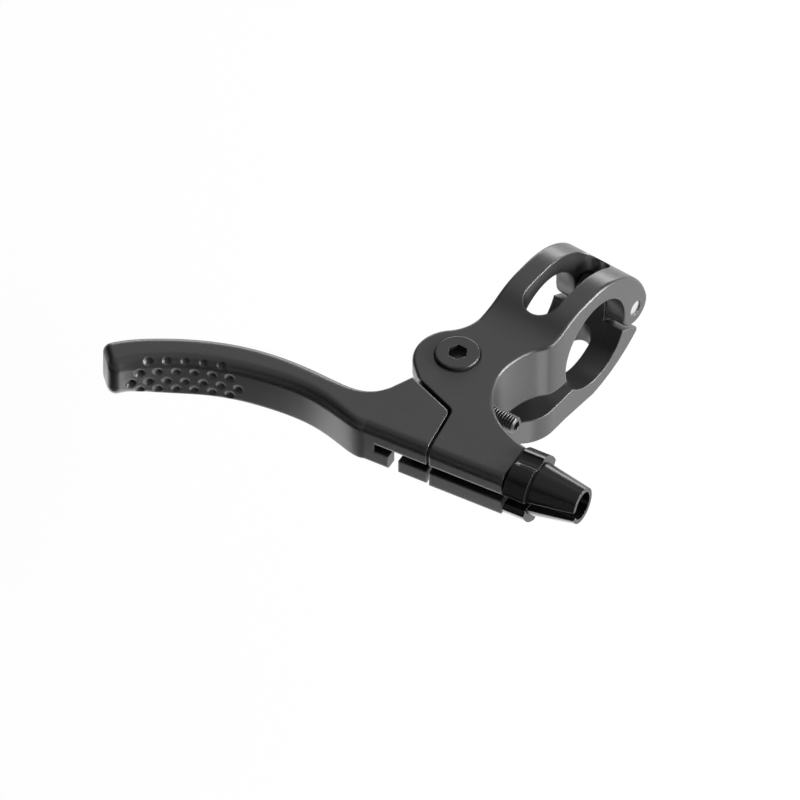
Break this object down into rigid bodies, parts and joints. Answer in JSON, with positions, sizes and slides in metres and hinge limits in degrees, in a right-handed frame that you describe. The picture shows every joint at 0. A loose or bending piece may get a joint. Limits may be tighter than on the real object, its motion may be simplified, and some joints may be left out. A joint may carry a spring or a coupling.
{
  "type": "bicycle brake lever",
  "caption": "Short two-finger cable brake lever with a hinged, windowed bar clamp, pivoting dimpled blade, reach screw and slotted barrel adjuster with lock ring.",
  "frame": {"origin": "centre of the bar clamp, on the handlebar's axis", "axes": "+X along the handlebar towards the barrel adjuster, -Y towards the fingers, +Z along the lever's pivot axis on the side of its bolt head"},
  "size_m": [0.1119, 0.0966, 0.0311],
  "materials": {
    "satin_black": "satin black anodised",
    "gloss_black": "gloss black anodised",
    "black_steel": "black oxide",
    "bright_steel": "bare ground",
    "bush_plastic": "moulded"
  },
  "bodies": {
    "base": {"lever_body": "satin_black", "pivot_bolt": "black_steel", "pivot_nut": "black_steel", "hinge_pin": "bright_steel"},
    "blade": {"lever_blade": "satin_black", "upper_bush": "bush_plastic", "lower_bush": "bush_plastic"},
    "clamp": {"clamp_half": "satin_black"},
    "bolt": {"clamp_bolt": "black_steel"},
    "reach": {"reach_screw": "black_steel"},
    "barrel": {"barrel_adjuster": "gloss_black"},
    "ring": {"lock_ring": "gloss_black"}
  },
  "joints": [
    {"name": "lever_pivot", "type": "hinge", "parent": "base", "child": "blade", "pos_m": [-0.0065, -0.0298, 0.0051], "axis": [0, 0, -1], "range_deg": [0, 28]},
    {"name": "clamp_hinge", "type": "hinge", "parent": "base", "child": "clamp", "pos_m": [0, 0.0151, -0.0012], "axis": [1, 0, 0], "range_deg": [0, 6]},
    {"name": "clamp_bolt_slide", "type": "slide", "parent": "base", "child": "bolt", "axis": [0, 0, -1], "range_m": [0, 0.00388]},
    {"name": "reach_screw_slide", "type": "slide", "parent": "base", "child": "reach", "axis": [1, 0, 0], "range_m": [0, 0.003]},
    {"name": "barrel_slide", "type": "slide", "parent": "base", "child": "barrel", "axis": [0.9921, 0.1253, 0], "range_m": [0, 0.006]},
    {"name": "lock_ring_spin", "type": "hinge", "parent": "barrel", "child": "ring", "pos_m": [0.0229, -0.0485, 0.006], "axis": [0.9921, 0.1253, 0], "continuous": true}
  ],
  "couplings": [
    {"joint": "clamp_bolt_slide", "follows": "clamp_hinge", "m_per_rad": 0.037}
  ]
}
